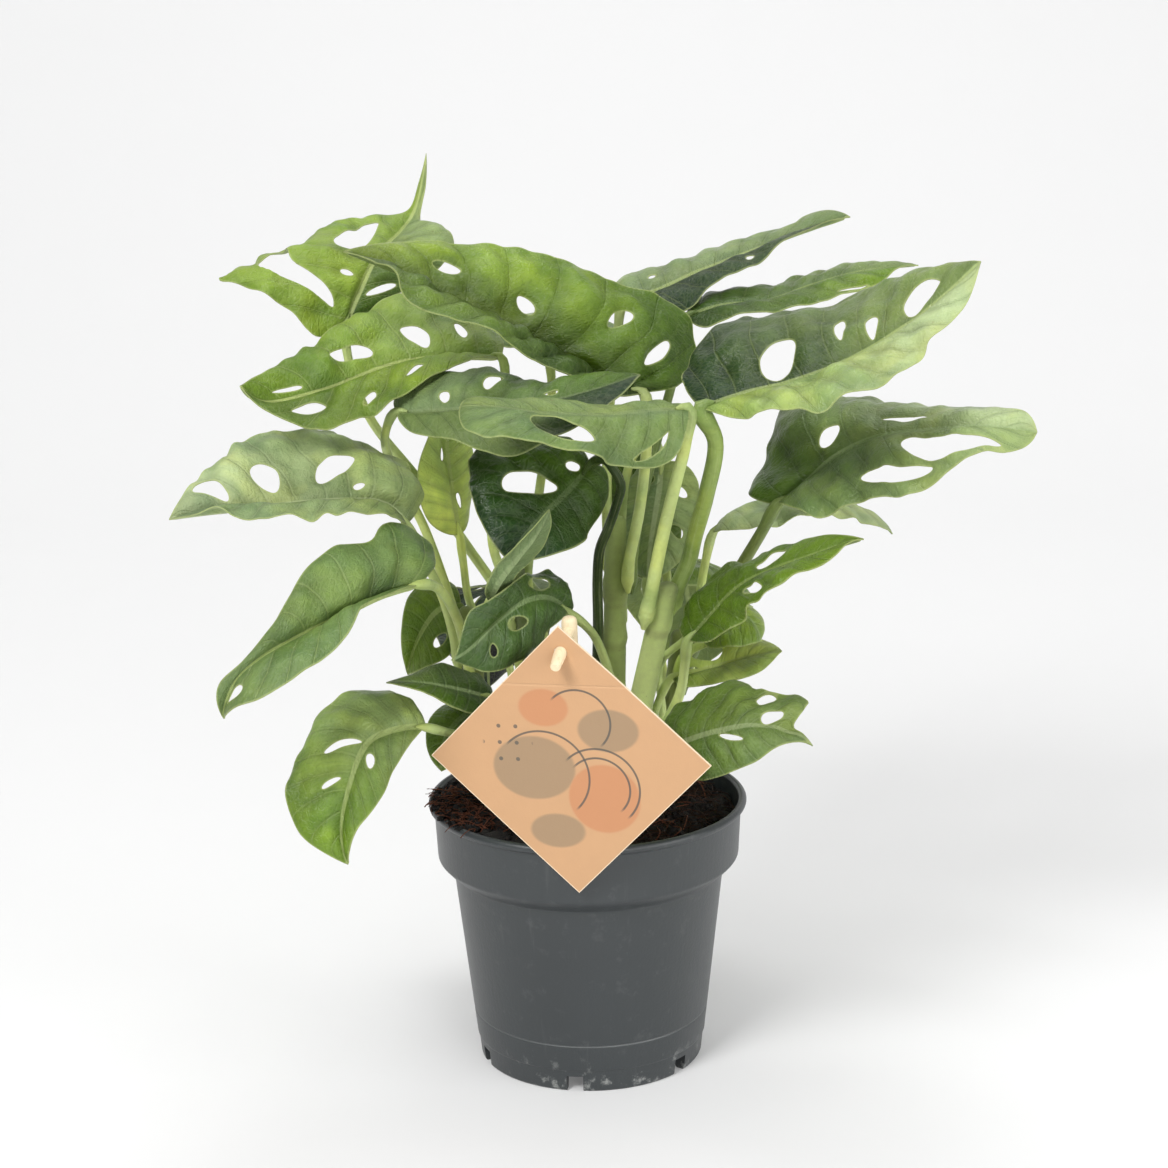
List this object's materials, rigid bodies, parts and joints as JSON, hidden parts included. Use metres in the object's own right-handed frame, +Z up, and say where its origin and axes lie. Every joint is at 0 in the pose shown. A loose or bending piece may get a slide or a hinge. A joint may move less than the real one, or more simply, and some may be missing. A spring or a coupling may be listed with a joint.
{
  "type": "potted holed-leaf houseplant",
  "caption": "Young holed-leaf climbing houseplant in a round plastic nursery pot, with a square card label hung as a diamond on a wooden stick at the front.",
  "frame": {"origin": "the middle of the pot's underside, on the surface that the pot stands on", "axes": "+Z up out of the pot, -Y towards the label at the front"},
  "size_m": [0.3001, 0.2469, 0.3332],
  "materials": {
    "pot_plastic": "satin moulded anthracite plastic, scuffed at the foot",
    "soil": "loose dark potting soil with coir fibres",
    "stem": "smooth green plant stem",
    "leaf_green": "glossy mid-green leaf",
    "leaf_bright": "satin yellow-green young leaf",
    "leaf_grey": "matt grey-green leaf",
    "leaf_blue": "satin dark blue-green leaf",
    "label_paper": "matt printed card",
    "peg_wood": "bare pale wood"
  },
  "bodies": {
    "root": {"label_card": "label_paper", "label_stick": "peg_wood", "leaf_back_high": "leaf_green", "leaf_back_right": "leaf_green", "leaf_behind_high": "leaf_blue", "leaf_behind_left": "leaf_green", "leaf_behind_mid": "leaf_green", "leaf_behind_right": "leaf_green", "leaf_centre_dark": "leaf_blue", "leaf_centre_front": "leaf_grey", "leaf_centre_grey": "leaf_grey", "leaf_centre_left": "leaf_grey", "leaf_crown": "leaf_green", "leaf_front_teal": "leaf_blue", "leaf_left_arch": "leaf_grey", "leaf_left_bottom": "leaf_green", "leaf_left_bright": "leaf_bright", "leaf_left_droop": "leaf_green", "leaf_left_inner": "leaf_green", "leaf_left_low": "leaf_blue", "leaf_left_under": "leaf_blue", "leaf_left_upright": "leaf_bright", "leaf_right_behind": "leaf_grey", "leaf_right_big": "leaf_green", "leaf_right_bottom": "leaf_grey", "leaf_right_bright": "leaf_bright", "leaf_right_dark": "leaf_blue", "leaf_right_low": "leaf_blue", "leaf_right_mid": "leaf_green", "leaf_small_curled": "leaf_grey", "leaf_top_left": "leaf_bright", "pot": "pot_plastic", "soil": "soil", "vine_back_left": "stem", "vine_centre": "stem", "vine_far_right": "stem", "vine_front_left": "stem", "vine_left": "stem", "vine_right": "stem"}
  },
  "joints": []
}
